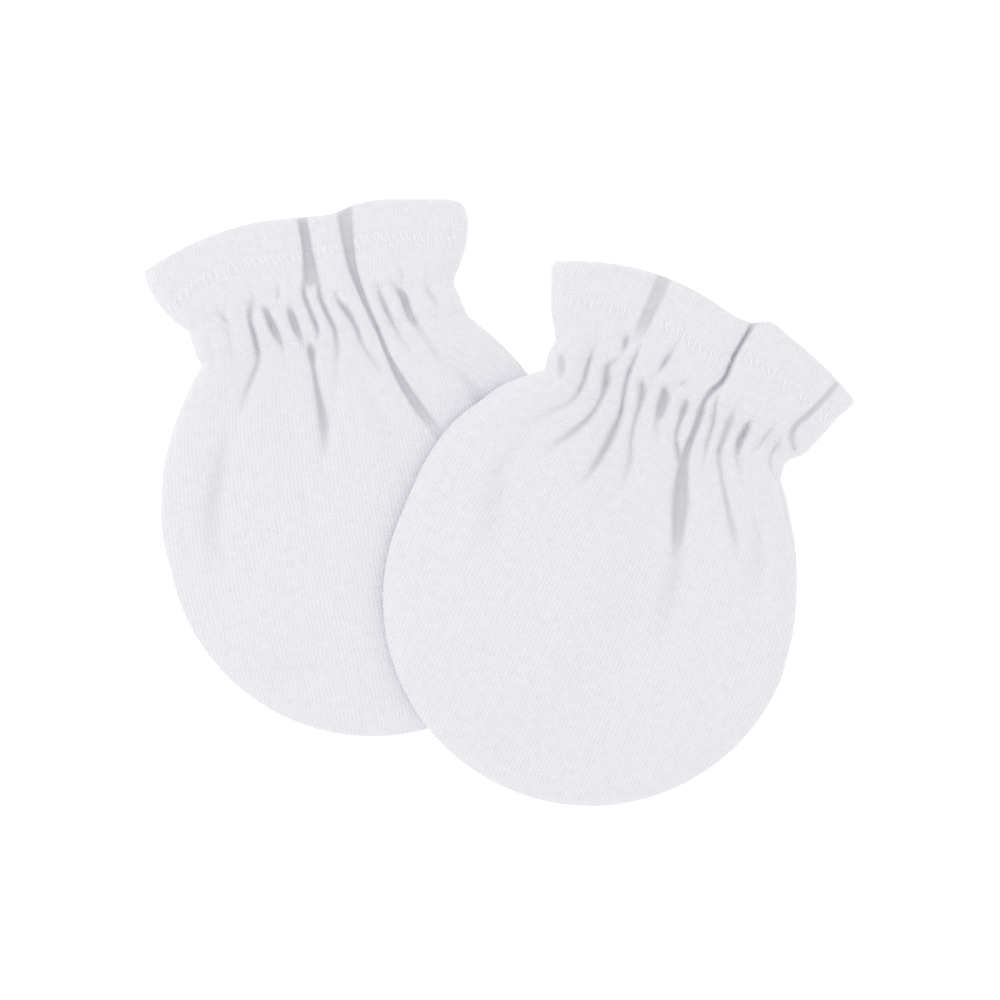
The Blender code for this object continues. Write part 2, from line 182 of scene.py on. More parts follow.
LEFT = Mitten(
    name="left",
    centre=(-26.0, -5.2),
    turn=math.radians(11.0),
    middle=(0.3, -0.5),
    radius=41.1,
    wrist=39.0,
    sides=(
        Side(0.0, -40.9, 41.4),
        Side(6.0, -41.1, 41.2),
        Side(15.0, -39.7, 40.2),
        Side(25.0, -36.1, 36.6),
        Side(33.5, -30.8, 31.2),
        Side(36.4, -28.6, 28.8),
        Side(38.6, -27.0, 27.2),
        Side(40.2, -27.4, 26.9),
        Side(43.4, -27.9, 26.2),
        Side(45.3, -28.0, 25.8),
        Side(48.0, -30.3, 27.5),
        Side(54.0, -33.7, 30.4),
        Side(58.0, -34.5, 31.1),
        Side(60.0, -34.3, 30.9),
    ),
    hem=(
        Hem(-34.0, 59.4), Hem(-25.0, 62.4), Hem(-12.0, 64.4), Hem(-2.0, 63.8), Hem(5.0, 63.3),
        Hem(8.5, 64.1), Hem(13.0, 64.3), Hem(20.0, 63.2), Hem(25.0, 62.2), Hem(28.2, 61.5), Hem(30.0, 60.7),
        Hem(31.1, 59.2),
    ),
    band=(
        Band(-28.0, 38.7, 46.0), Band(-17.0, 39.1, 47.0), Band(-8.0, 39.3, 46.4),
        Band(0.0, 39.3, 47.4), Band(12.0, 39.0, 46.6), Band(27.0, 38.2, 45.6),
    ),
    stitches=(
        Stitch(-33.0, 50.6), Stitch(-31.0, 52.0), Stitch(-25.0, 55.5), Stitch(-20.0, 57.0), Stitch(-12.0, 58.0),
        Stitch(-5.0, 57.2), Stitch(1.0, 57.2), Stitch(13.0, 57.8), Stitch(22.0, 56.2), Stitch(31.0, 54.0),
    ),
    creases=(
        # pleats of the cuff
        crease(5, (-1.4, 65.5, 2.1, 1.0), (-1.6, 57.0, 2.1, 0.95), (-1.9, 52.5, 2.1, 1.35), (-2.0, 50.6, 1.7, 1.5),
               (-2.1, 49.4, 0.5, 1.2)),
        crease(5, (7.4, 65.5, 2.0, 1.7), (6.7, 57.0, 2.0, 1.1), (6.6, 52.0, 2.0, 0.8), (7.2, 47.5, 1.9, 0.6),
               (8.2, 42.5, 1.7, 0.5), (9.2, 38.5, 1.6, 0.45), (10.4, 32.5, 1.6, 0.5), (12.0, 27.5, 1.9, 0.8),
               (14.2, 22.0, 1.7, 0.95), (18.0, 15.0, 0.6, 0.9), (21.0, 10.5, 0.0, 0.9)),
        # gathers
        crease(2, (-24.2, 45.5, 0.0, 0.5), (-24.3, 42.0, 0.6, 0.5), (-23.8, 38.5, 0.2, 0.6)),
        crease(2, (-23.5, 50.0, 0.0, 0.7), (-21.0, 47.6, 0.8, 0.5), (-20.1, 44.0, 0.7, 0.5), (-20.4, 39.0, 0.5, 0.5),
               (-22.5, 34.0, 0.0, 0.9)),
        crease(2, (-13.8, 53.0, 0.0, 1.2), (-14.3, 49.5, 0.9, 1.0), (-15.4, 46.4, 1.5, 0.55), (-15.2, 41.0, 1.7, 0.55),
               (-15.5, 37.3, 1.3, 0.6), (-18.2, 32.8, 1.2, 0.65), (-20.0, 29.5, 0.8, 0.9), (-22.5, 24.5, 0.0, 1.4)),
        crease(3, (-12.6, 49.0, 0.0, 0.6), (-11.9, 45.8, 1.7, 0.6), (-11.1, 42.5, 2.0, 0.75), (-10.2, 39.2, 1.0, 0.5),
               (-10.0, 36.0, 0.0, 0.6)),
        crease(2, (-8.4, 52.5, 0.0, 0.4), (-9.0, 49.8, 0.9, 0.45), (-9.7, 47.2, 0.3, 0.4), (-9.8, 46.0, 0.0, 0.4)),
        crease(3, (-7.6, 47.2, 0.0, 0.5), (-7.2, 45.0, 1.9, 0.7), (-6.8, 42.0, 1.9, 0.7), (-6.2, 39.4, 1.0, 0.5),
               (-6.0, 37.0, 0.0, 0.5)),
        crease(2, (-3.4, 51.2, 1.2, 0.6), (-3.9, 48.5, 1.6, 0.5), (-3.3, 44.5, 1.6, 0.5), (-2.7, 41.0, 1.5, 0.5),
               (-2.8, 38.6, 0.4, 0.5)),
        crease(2, (-0.6, 51.0, 1.2, 0.6), (-0.9, 47.5, 1.6, 0.5), (-0.2, 44.0, 1.7, 0.5), (0.7, 40.5, 1.6, 0.5),
               (0.5, 36.5, 1.1, 0.55), (-0.6, 32.0, 0.7, 0.8), (-1.8, 26.5, 0.4, 1.2), (-0.6, 17.0, 0.3, 1.6),
               (1.0, 8.0, 0.0, 2.0)),
        crease(2, (2.0, 49.0, 0.0, 0.5), (2.6, 45.8, 1.3, 0.5), (3.9, 43.3, 1.8, 0.6), (5.0, 39.8, 1.5, 0.5),
               (5.6, 36.4, 1.1, 0.55), (7.5, 32.0, 0.9, 0.7), (9.3, 27.5, 0.0, 1.2)),
        crease(2, (10.2, 51.0, 0.0, 0.6), (10.8, 47.5, 0.8, 0.5), (11.1, 44.5, 1.5, 0.55), (12.2, 40.0, 1.3, 0.5),
               (13.4, 36.0, 0.8, 0.5), (15.8, 31.0, 0.4, 0.6), (18.0, 26.5, 0.0, 0.9)),
        crease(3, (13.0, 49.5, 0.0, 0.5), (14.2, 46.8, 0.8, 0.5), (15.3, 44.6, 1.9, 0.7), (16.0, 40.4, 1.8, 0.7),
               (17.4, 37.0, 0.9, 0.6), (19.3, 32.5, 0.8, 0.6), (21.0, 28.0, 0.4, 0.8), (23.5, 22.5, 0.0, 1.2)),
        crease(2, (15.8, 51.5, 0.0, 0.5), (15.9, 49.0, 0.7, 0.45), (16.2, 46.5, 0.3, 0.4)),
        crease(2, (20.0, 48.0, 0.0, 0.5), (20.4, 45.0, 0.9, 0.6), (21.6, 41.5, 0.8, 0.6), (22.4, 38.0, 0.2, 0.6)),
        crease(2, (-4.7, 39.2, 0.6, 0.5), (-4.7, 37.4, 1.9, 0.75), (-4.9, 34.0, 1.5, 0.5), (-5.0, 29.0, 1.7, 0.6),
               (-5.1, 22.5, 1.8, 0.95), (-5.9, 17.5, 0.9, 1.0), (-6.8, 12.0, 0.0, 1.2)),
        crease(2, (13.0, 39.0, 0.0, 0.4), (14.2, 35.0, 0.6, 0.5), (16.0, 31.5, 0.0, 0.6)),
        # broad soft hollows of the round body
        crease(2, (-21.0, 31.0, 0.2, 1.2), (-26.5, 20.0, 0.9, 2.0), (-31.5, 4.0, 0.8, 2.5), (-29.0, -12.0, 0.0, 3.0)),
        crease(2, (-11.0, 36.0, 0.2, 1.2), (-12.5, 24.0, 0.5, 1.8), (-11.0, 8.0, 0.3, 2.2), (-11.0, -6.0, 0.0, 3.0)),
        crease(2, (3.0, 33.0, 0.3, 1.5), (6.5, 20.0, 0.6, 2.0), (9.5, 8.0, 0.0, 2.5)),
        crease(2, (20.0, 33.0, 0.4, 1.2), (27.0, 20.0, 0.9, 1.6), (30.0, 8.0, 0.0, 3.0)),
        crease(2, (-26.0, -18.0, 0.0, 3.0), (-20.0, -25.0, 0.6, 3.5), (-10.0, -29.0, 0.0, 3.0)),
    ),
    steps=(),
)

RIGHT = Mitten(
    name="right",
    centre=(18.0, -17.8),
    turn=math.radians(-25.0),
    middle=(0.7, -1.2),
    radius=41.5,
    wrist=36.3,
    sides=(
        Side(0.0, -40.9, 42.2),
        Side(10.0, -40.9, 40.3),
        Side(20.0, -38.8, 36.4),
        Side(25.5, -36.0, 33.5),
        Side(30.5, -33.0, 30.0),
        Side(34.0, -29.6, 27.4),
        Side(36.6, -27.0, 25.1),
        Side(38.5, -27.5, 24.7),
        Side(40.6, -27.7, 24.8),
        Side(42.6, -27.5, 26.8),
        Side(44.5, -28.6, 27.7),
        Side(48.0, -31.0, 28.9),
        Side(52.7, -33.1, 30.3),
        Side(56.0, -34.4, 31.7),
        Side(58.0, -33.6, 31.8),
    ),
    hem=(
        Hem(-34.0, 57.2), Hem(-25.0, 60.9), Hem(-15.0, 63.2), Hem(-11.0, 63.5), Hem(-5.0, 63.3),
        Hem(5.0, 62.2), Hem(6.6, 62.4), Hem(9.0, 63.8), Hem(15.0, 62.9), Hem(20.0, 61.6),
        Hem(25.0, 59.9), Hem(31.5, 57.2),
    ),
    band=(
        Band(-28.0, 36.1, 43.2), Band(-15.0, 35.6, 43.5), Band(0.0, 35.3, 43.0), Band(9.0, 36.2, 44.6),
        Band(20.0, 37.6, 44.8), Band(26.0, 37.9, 43.0),
    ),
    stitches=(
        Stitch(-34.0, 49.4), Stitch(-31.0, 50.8), Stitch(-27.0, 52.7), Stitch(-22.0, 54.2), Stitch(-15.0, 55.3),
        Stitch(-8.0, 55.5), Stitch(0.0, 54.5), Stitch(5.0, 54.2), Stitch(7.5, 56.2), Stitch(12.0, 56.3),
        Stitch(17.0, 55.8), Stitch(22.0, 54.5), Stitch(31.0, 51.8),
    ),
    creases=(
        # pleats of the cuff
        crease(5, (-13.3, 64.8, 1.5, 1.7), (-12.9, 58.0, 1.4, 1.4), (-12.9, 52.5, 1.3, 1.2), (-12.7, 48.5, 0.3, 1.0)),
        crease(2, (-5.0, 56.0, 0.0, 0.5), (-5.4, 51.0, 0.8, 0.5), (-5.9, 47.8, 1.5, 0.6), (-6.3, 45.2, 0.7, 0.4),
               (-7.0, 43.6, 0.6, 0.4)),
        crease(3, (7.3, 64.8, 1.6, 0.9), (6.7, 60.0, 1.8, 0.5), (6.2, 55.0, 1.8, 0.45), (6.1, 49.0, 1.9, 0.5),
               (5.0, 46.6, 1.8, 0.55), (4.6, 44.5, 1.6, 0.5), (5.0, 40.5, 1.9, 0.65), (5.3, 36.5, 1.8, 0.6),
               (5.7, 32.8, 1.9, 0.75), (6.8, 29.0, 2.2, 1.1), (8.6, 24.2, 2.3, 1.45), (10.2, 20.0, 2.0, 1.3),
               (12.2, 14.5, 1.1, 1.1), (14.0, 8.5, 0.5, 1.0), (15.5, 2.0, 0.0, 1.2)),
        crease(3, (27.6, 60.5, 1.1, 0.65), (26.1, 55.0, 1.2, 0.65), (24.5, 50.5, 1.3, 0.6), (23.1, 47.0, 1.3, 0.55),
               (23.6, 44.6, 1.1, 0.5), (25.6, 42.2, 0.6, 0.5)),
        # gathers
        crease(2, (-25.8, 42.0, 0.0, 0.7), (-24.9, 39.8, 1.2, 0.85), (-23.8, 37.6, 1.2, 0.8), (-23.0, 35.0, 0.0, 0.8)),
        crease(2, (-20.3, 47.5, 0.0, 0.6), (-19.9, 44.5, 0.7, 0.45), (-19.6, 41.0, 1.5, 0.5), (-19.0, 36.5, 1.3, 0.5),
               (-19.4, 33.3, 1.0, 0.6), (-22.0, 29.6, 0.9, 0.9), (-25.5, 25.0, 0.6, 1.4), (-29.0, 19.0, 0.0, 2.0)),
        crease(2, (-15.1, 51.0, 0.0, 0.6), (-14.7, 48.5, 1.5, 0.7), (-14.5, 45.0, 0.6, 0.5), (-15.9, 42.6, 1.3, 0.6),
               (-14.9, 39.5, 1.9, 0.75), (-14.4, 35.5, 1.3, 0.55), (-15.0, 31.5, 1.4, 0.55), (-17.2, 26.6, 1.3, 0.8),
               (-19.4, 22.4, 0.7, 1.0), (-22.0, 17.0, 0.0, 1.6)),
        crease(2, (-11.5, 50.5, 0.0, 0.5), (-11.7, 47.0, 1.0, 0.45), (-11.5, 42.5, 1.4, 0.5), (-10.7, 38.8, 1.5, 0.5),
               (-9.7, 35.2, 1.5, 0.5), (-9.4, 30.5, 1.8, 0.8), (-9.6, 25.5, 1.6, 0.75), (-10.6, 19.5, 0.8, 0.9),
               (-12.5, 13.5, 0.0, 1.3)),
        crease(2, (-9.0, 43.6, 0.0, 0.5), (-7.8, 41.4, 1.8, 0.75), (-6.9, 38.2, 1.5, 0.6), (-6.3, 34.5, 1.1, 0.5),
               (-5.4, 30.8, 1.0, 0.5), (-4.0, 27.4, 1.1, 0.7), (-3.3, 23.5, 0.8, 0.9), (-3.4, 17.0, 0.0, 1.3)),
        crease(3, (-4.2, 44.4, 0.0, 0.5), (-3.2, 42.0, 1.9, 0.85), (-2.6, 38.8, 2.0, 0.95), (-2.2, 36.0, 0.9, 0.6),
               (-1.0, 33.5, 0.5, 0.6), (0.6, 30.0, 0.0, 0.8)),
        crease(2, (0.4, 47.4, 0.0, 0.4), (-0.9, 45.6, 0.9, 0.45), (-2.0, 44.0, 0.3, 0.4)),
        crease(2, (1.0, 44.0, 0.0, 0.5), (1.4, 42.0, 1.7, 0.65), (1.8, 38.0, 1.5, 0.5), (2.5, 35.2, 1.3, 0.5),
               (4.2, 32.6, 1.5, 0.6), (5.6, 30.4, 1.2, 0.6)),
        crease(2, (6.0, 48.0, 0.0, 0.5), (6.9, 44.4, 1.1, 0.5), (7.9, 41.0, 1.2, 0.5), (8.6, 36.8, 1.1, 0.5),
               (9.4, 34.0, 0.8, 0.5), (10.8, 30.5, 0.0, 0.6)),
        crease(3, (10.6, 47.0, 0.0, 0.6), (10.8, 43.5, 1.2, 0.7), (11.0, 39.5, 1.4, 0.7), (11.6, 35.8, 1.2, 0.55),
               (14.0, 32.0, 1.0, 0.5), (17.0, 28.0, 1.1, 0.55), (20.2, 23.8, 1.1, 0.75), (23.4, 19.6, 0.6, 0.7),
               (27.0, 15.0, 0.0, 0.9)),
        crease(3, (14.6, 45.8, 0.0, 0.5), (14.4, 43.0, 1.7, 0.6), (14.4, 39.4, 1.9, 0.65), (15.2, 36.8, 0.9, 0.5),
               (17.0, 34.6, 0.6, 0.5), (19.0, 32.5, 0.0, 0.6)),
        crease(2, (19.6, 46.8, 0.0, 0.5), (19.0, 44.4, 0.9, 0.45), (18.3, 41.0, 0.9, 0.5), (17.7, 38.0, 0.2, 0.5)),
        crease(2, (21.9, 45.0, 0.0, 0.4), (21.4, 42.5, 0.9, 0.45), (21.2, 40.0, 1.0, 0.45), (22.0, 37.8, 0.9, 0.45),
               (24.0, 36.0, 0.4, 0.4)),
        # the seam, rolled a little to the front along the right shoulder
        crease(2, (23.0, 37.0, 0.2, 0.4), (26.0, 34.0, 0.6, 0.4), (30.0, 29.0, 0.6, 0.4), (33.2, 25.0, 0.6, 0.4),
               (36.2, 20.0, 0.5, 0.4), (38.8, 14.0, 0.3, 0.4), (40.4, 8.0, 0.0, 0.4)),
        # broad soft hollows of the round body
        crease(2, (-21.0, 29.0, 0.3, 1.5), (-26.5, 18.0, 0.7, 2.4), (-24.0, 4.0, 0.7, 4.0), (-20.0, -8.0, 0.0, 5.0)),
        crease(2, (-6.5, 30.0, 0.2, 1.2), (-6.0, 14.0, 0.5, 2.2), (-7.0, -4.0, 0.0, 3.5)),
        crease(2, (12.5, 15.0, 0.9, 2.2), (15.0, 4.0, 0.8, 2.8), (17.0, -12.0, 0.0, 4.0)),
        crease(2, (21.0, 31.0, 0.3, 1.5), (27.0, 22.0, 0.8, 1.6), (31.0, 8.0, 0.0, 3.0)),
    ),
    steps=(
        # the pleat's right-hand side stands proud of its left-hand side
        Step(7.0, 64.8, 0.9, 9.0), Step(6.2, 55.0, 0.9, 8.0), Step(6.1, 49.0, 0.8, 5.0), Step(5.2, 45.5, 0.0, 4.0),
    ),
)


def curve(table, key, column, at):
    """One column of a table against another: cubic pieces whose slopes follow the rows beside them."""
    places = np.array([getattr(row, key) for row in table])
    values = np.array([getattr(row, column) for row in table])
    slopes = np.gradient(values, places)
    low = np.clip(np.searchsorted(places, at) - 1, 0, len(places) - 2)
    step = places[low + 1] - places[low]
    share = np.clip((at - places[low]) / step, 0.0, 1.0)
    rest = 1.0 - share
    ends = values[low] * (1.0 + 2.0 * share) * rest ** 2 + values[low + 1] * (3.0 - 2.0 * share) * share ** 2
    return ends + step * share * rest * (slopes[low] * rest - slopes[low + 1] * share)


def smoothstep(value):
    """Zero to one with level ends."""
    clipped = np.clip(value, 0.0, 1.0)
    return clipped * clipped * (3.0 - 2.0 * clipped)


def rim(share):
    """Quarter circle from 0 at the seam to 1 at the plateau."""
    return np.sqrt(1.0 - (1.0 - np.clip(share, 0.0, 1.0)) ** 2)


def edge(mitten, side, at):
    """Left or right edge at the heights 'at': the round body's circle, then the table."""
    sign = -1.0 if side == "left" else 1.0
    middle_x, middle_y = mitten.middle
    circle = middle_x + sign * np.sqrt(np.maximum(mitten.radius ** 2 - (at - middle_y) ** 2, 0.0))
    return np.where(at < 0.0, circle, curve(mitten.sides, "along", side, at))


def hem_at(mitten, x):
    """Outermost edge of the hem."""
    return curve(mitten.hem, "across", "along", x)


def band_at(mitten, x):
    """Lower and upper stitch line of the wrist elastic."""
    return curve(mitten.band, "across", "low", x), curve(mitten.band, "across", "high", x)


def outline(mitten):
    """Points from above the hem's left corner, down, round the bottom and up the right side."""
    heights = np.arange(0.4, mitten.sides[-1].along + 8.0, 0.4)
    angles = np.linspace(-math.pi, 0.0, 240)
    bottom = np.column_stack([np.cos(angles), np.sin(angles)]) * mitten.radius + mitten.middle
    left = np.column_stack([edge(mitten, "left", heights), heights])[::-1]
    right = np.column_stack([edge(mitten, "right", heights), heights])
    return np.vstack([left, bottom, right])


def inside(mitten, x, y):
    """Distance from each point of a grid to the nearest piece of the outline, one row at a time."""
    points = outline(mitten)
    start, step = points[:-1], np.diff(points, axis=0)
    length = (step ** 2).sum(axis=1)
    distance = np.empty_like(x)
    for index in range(len(x)):
        to_x = x[index][:, None] - start[:, 0]
        to_y = y[index][:, None] - start[:, 1]
        share = np.clip((to_x * step[:, 0] + to_y * step[:, 1]) / length, 0.0, 1.0)
        apart = (to_x - share * step[:, 0]) ** 2 + (to_y - share * step[:, 1]) ** 2
        distance[index] = np.sqrt(apart.min(axis=1))
    return distance


def crease_at(line, x, y):
    """Distance from a crease's smooth path (which also rounds its ends), and its depth and width there."""
    points = line.points[::-1]
    slope = (curve(points, "y", "x", y + 0.1) - curve(points, "y", "x", y - 0.1)) / 0.2
    beyond = np.maximum(points[0].y - y, 0.0) + np.maximum(y - points[-1].y, 0.0)
    off = np.hypot((x - curve(points, "y", "x", y)) / np.sqrt(1.0 + slope ** 2), beyond)
    depth = np.maximum(curve(points, "y", "depth", y), 0.0)
    return off, depth, curve(points, "y", "width", y)


def crease_drop(creases, x, y, spread):
    """Deepest crease at each point: a trough, exp(-(distance / width) ^ square), with a wide soft skirt."""
    drop = np.zeros_like(x)
    for line in creases:
        off, depth, width = crease_at(line, x, y)
        trough = np.exp(-(off / (width * spread)) ** line.square)
        skirt = np.exp(-(off / (width * SKIRT_WIDTH + spread)) ** 2)
        drop = np.maximum(drop, depth * ((1.0 - SKIRT) * trough + SKIRT * skirt))
    return drop


def ripples(mitten, x, y):
    """Small unevenness: soft swells over the body, and short ripples that are strongest at the wrist."""
    swell = np.sin(x * 0.23 + y * 0.11 + mitten.turn * 9.0) * np.sin(y * 0.17 - x * 0.06 + 1.3)
    short = np.sin(x * 1.35 + 0.8 * np.sin(y * 0.31)) + 0.7 * np.sin(x * 2.1 - y * 0.24 + 2.0)
    near_wrist = np.exp(-((y - mitten.wrist - 3.0) / 9.0) ** 2)
    return 0.10 * swell + 0.09 * short * near_wrist


def stitch_grooves(mitten, x, y):
    """How far the hem's and the elastic's stitch lines pull the cloth in."""
    low, high = band_at(mitten, x)
    dots = 0.24 + 0.10 * np.cos(2.0 * math.pi * x / BAND_STITCH)
    pull = dots * (np.exp(-((y - low) / 0.45) ** 2) + np.exp(-((y - high) / 0.45) ** 2))
    first = curve(mitten.stitches, "across", "along", x)
    for row in (first, first - HEM_STITCH_GAP):
        pull = pull + 0.2 * np.exp(-((y - row) / 0.33) ** 2)
    return pull


def proud_side(mitten, x, y):
    """The right-hand side of a pleat that stands above its left-hand side, falling off away from it."""
    if not mitten.steps:
        return np.zeros_like(x)
    rows = mitten.steps[::-1]
    off = x - curve(rows, "y", "x", y)
    rise = curve(rows, "y", "rise", y)
    return rise * smoothstep((off + 0.2) / 0.6) * np.exp(-np.maximum(off, 0.0) / curve(rows, "y", "reach", y))


def front_top(mitten, x, y, distance, spread):
    """Outside of a front panel above its seam, away from the rim."""
    above = y - mitten.wrist
    crown = CROWN * np.minimum(smoothstep(distance / CROWN_REACH), smoothstep(-above / CROWN_REACH))
    allowance = ALLOWANCE_RISE * (1.0 - smoothstep((distance - ALLOWANCE) / 0.8))
    low, high = band_at(mitten, x)
    share = np.clip((y - low) / (high - low), 0.0, 1.0)
    puff = PUFF * smoothstep(np.minimum(share, 1.0 - share) / 0.3)
    top = curve(LEVELS, "along", "plateau", above) + crown + allowance + puff + ripples(mitten, x, y)
    top = top + proud_side(mitten, x, y) - stitch_grooves(mitten, x, y)
    top = top - crease_drop(mitten.creases, x, y, spread)
    return np.maximum(top, curve(LEVELS, "along", "deepest", above))


def back_top(mitten, x, y, distance, spread):
    """Outside of a back panel below its seam: on the table, but lifted at its own soft gathers."""
    above = y - mitten.wrist
    fade = smoothstep(1.0 + above / BACK_FADE) * smoothstep(1.0 - (above - BAND_WIDTH - 1.0) / 6.0)
    lift = BACK_SHARE * fade * crease_drop(mitten.creases, mitten.middle[0] + BACK_SHIFT - x, y, spread)
    return curve(LEVELS, "along", "seam", above) - SEAM_HALF_GAP - lift - BACK_GROOVE * stitch_grooves(mitten, x, y)


def lay(mitten, x, y):
    """How far a mitten is lifted: the right one lies on the left one's round body and comes down past it."""
    if mitten is LEFT:
        return np.zeros_like(x)
    pair_x, pair_y = place(mitten, x, y)
    middle_x, middle_y = place(LEFT, *LEFT.middle)
    to_x, to_y = pair_x - middle_x, pair_y - middle_y
    depth = LEFT.radius - np.hypot(to_x, to_y)
    along = to_y * math.cos(LEFT.turn) - to_x * math.sin(LEFT.turn)
    top = LAY_TOP + LAY_RISE * smoothstep(along / LAY_RISE_REACH) + LAY_CROWN * smoothstep(depth / LAY_CROWN_REACH)
    return top * smoothstep(1.0 + depth / LAY_FALL)


def place(mitten, x, y):
    """From a mitten's own frame to the pair's frame."""
    cos, sin = math.cos(mitten.turn), math.sin(mitten.turn)
    return mitten.centre[0] + x * cos - y * sin, mitten.centre[1] + x * sin + y * cos


def in_pair(mitten, x, y, height, front):
    """Points in metres: height counts up from the front's seam line, or down from the back's."""
    seam = curve(LEVELS, "along", "seam", y - mitten.wrist)
    z = seam + SEAM_HALF_GAP + height if front else seam - SEAM_HALF_GAP - height
    pair_x, pair_y = place(mitten, x, y)
    return np.stack([pair_x, pair_y, z + lay(mitten, x, y)], axis=-1) * METRES


def on_outside(mitten, x, y, front, lift):
    """Points on a panel's outside, lifted off it."""
    outer, _ = wall(mitten, x, y, inside(mitten, x, y), front, 1.0)
    return in_pair(mitten, x, y, outer + lift, front)


def row_stations(mitten, fine):
    """Rows from the bottom up: height of their ends, sag of their arc, and share of the way to the hem."""
    low_end = mitten.middle[1] - mitten.radius * ARC_END
    sag = mitten.radius * (1.0 - ARC_END)
    body = mitten.wrist - low_end + sag
    at_rim = np.array([0.0, 0.03, 0.12, 0.27, 0.48, 0.76, 1.1, 1.5, 1.95, 2.45, 3.0])
    plain = np.arange(3.6, body - 9.0, 0.62 * fine)
    near_wrist = np.arange(body - 9.0, body, 0.37 * fine)
    up = np.concatenate([at_rim, plain, near_wrist]) / body
    cuff = mitten.sides[-1].along - mitten.wrist
    to_hem = np.linspace(0.0, 1.0, int(cuff / (0.34 * fine)))
    ends = np.concatenate([low_end + (mitten.wrist - low_end) * up, np.full(len(to_hem), mitten.wrist)])
    return ends, np.concatenate([sag * (1.0 - up), 0.0 * to_hem]), np.concatenate([0.0 * up, to_hem])


def cuff_end(mitten, side, share):
    """Where a cuff row meets an edge, found by four steps of trying the edge at the row's own height."""
    height = mitten.wrist + (mitten.sides[-1].along - mitten.wrist) * share
    for _ in range(4):
        top = hem_at(mitten, edge(mitten, side, height)) - FOLD_RADIUS
        height = mitten.wrist + (top - mitten.wrist) * share
    return edge(mitten, side, height)


def row_ends(mitten, ends, share):
    """Left and right end of every row."""
    in_cuff = share > 0.0
    low = np.where(in_cuff, cuff_end(mitten, "left", share), edge(mitten, "left", ends))
    high = np.where(in_cuff, cuff_end(mitten, "right", share), edge(mitten, "right", ends))
    return low[:, None], high[:, None]


def row_height(mitten, x, low, high, ends, sag, share):
    """Along-place of a row's points: an arc that sags in the body, or a line bowed towards the hem."""
    ends, sag, share = ends[:, None], np.maximum(sag, 1e-6)[:, None], share[:, None]
    half = (high - low) / 2.0
    bend = (half ** 2 + sag ** 2) / (2.0 * sag)
    off = np.clip(x - (low + high) / 2.0, -half, half)
    arc = ends - sag + off ** 2 / (bend + np.sqrt(bend ** 2 - off ** 2))
    return np.where(share > 0.0, mitten.wrist + (hem_at(mitten, x) - FOLD_RADIUS - mitten.wrist) * share, arc)


def column_density(mitten, creases, x, y):
    """How closely columns stand: closer at creases and at the two edges."""
    density = np.ones_like(x)
    for line in creases:
        off, depth, width = crease_at(line, x, y)
        density += 2.4 * np.minimum(depth, 1.0) * np.exp(-(off / (1.3 * width + 0.4)) ** 2)
    to_edge = np.minimum(x - x[:, :1], x[:, -1:] - x)
    return density + 6.0 * np.exp(-to_edge / 0.5)


def panel_grid(mitten, creases, columns, fine):
    """Places of a panel's rows and columns before the hem: columns spread by their density along each row.

    The density is averaged over neighbouring rows many times, so that columns run smoothly from row to row.
    """
    ends, sag, share = row_stations(mitten, fine)
    low, high = row_ends(mitten, ends, share)
    tries = low + (high - low) * np.linspace(0.0, 1.0, TRIES)
    density = column_density(mitten, creases, tries, row_height(mitten, tries, low, high, ends, sag, share))
    for _ in range(DENSITY_PASSES):
        density[1:-1] = (density[:-2] + 2.0 * density[1:-1] + density[2:]) / 4.0
    counted = np.cumsum((density[:, 1:] + density[:, :-1]) * np.diff(tries, axis=1), axis=1)
    counted = np.hstack([np.zeros((len(tries), 1)), counted])
    shares = np.linspace(0.0, 1.0, columns)
    x = np.array([np.interp(shares * total[-1], total, row) for total, row in zip(counted, tries)])
    x[:, 0], x[:, -1] = low[:, 0], high[:, 0]
    return x, row_height(mitten, x, low, high, ends, sag, share)


def side_name(front):
    """Name of a panel's side of the mitten."""
    return "front" if front else "back"


def wall(mitten, x, y, distance, front, spread):
    """Heights of a panel's outer and inner side from the seam; 'spread' widens the outer side's creases."""
    top, width = (front_top, RIM) if front else (back_top, BACK_RIM)
    outer = SEAM_LIP + (top(mitten, x, y, distance, spread) - SEAM_LIP) * rim(distance / width)
    inner = (top(mitten, x, y, distance, SPREAD) - CLOTH) * rim((distance - CLOTH) / width)
    return outer, inner


def wall_grids(mitten, x, y, front):
    """Both sides of a panel before the hem, with the seam and both edges at the seam's own height."""
    distance = inside(mitten, x, y)
    distance[0], distance[:, 0], distance[:, -1] = 0.0, 0.0, 0.0
    return wall(mitten, x, y, distance, front, 1.0)


def turned_row(mitten, x, angle, back, front):
    """One row of the hem's fold or of the cloth turned in behind it, for both sides of the wall.

    The fold is a half circle round its own inside edge; 'back' is how far the row lies behind it.
    """
    inset = HEM_INSET * (angle / math.pi) ** 2.4
    share = (x - x[0]) / (x[-1] - x[0])
    ends = hem_at(mitten, x[[0, -1]]) - FOLD_RADIUS - back
    low = edge(mitten, "left", ends[0]) + inset
    high = edge(mitten, "right", ends[1]) - inset
    x = low + share * (high - low)
    y = hem_at(mitten, x) - FOLD_RADIUS - back
    distance = inside(mitten, x[None], y[None])[0]
    outer, inner = wall(mitten, x, y, distance, front, 1.0 + (TURNED_SPREAD - 1.0) * angle / math.pi)
    inner_radius = FOLD_GAP / 2
    return (
        x,
        (y + FOLD_RADIUS * math.sin(angle), outer - FOLD_RADIUS * (1.0 - math.cos(angle))),
        (y + inner_radius * math.sin(angle), np.maximum(inner - inner_radius * (1.0 - math.cos(angle)), 0.0)),
    )


def on_cloth(mitten, x, y):
    """Place of every point on the flat cloth: across it's stretched by what the gathers take up."""
    across = (x - mitten.middle[0]) * curve(LEVELS, "along", "cloth", y - mitten.wrist)
    return np.stack([across, y], axis=-1) * METRES


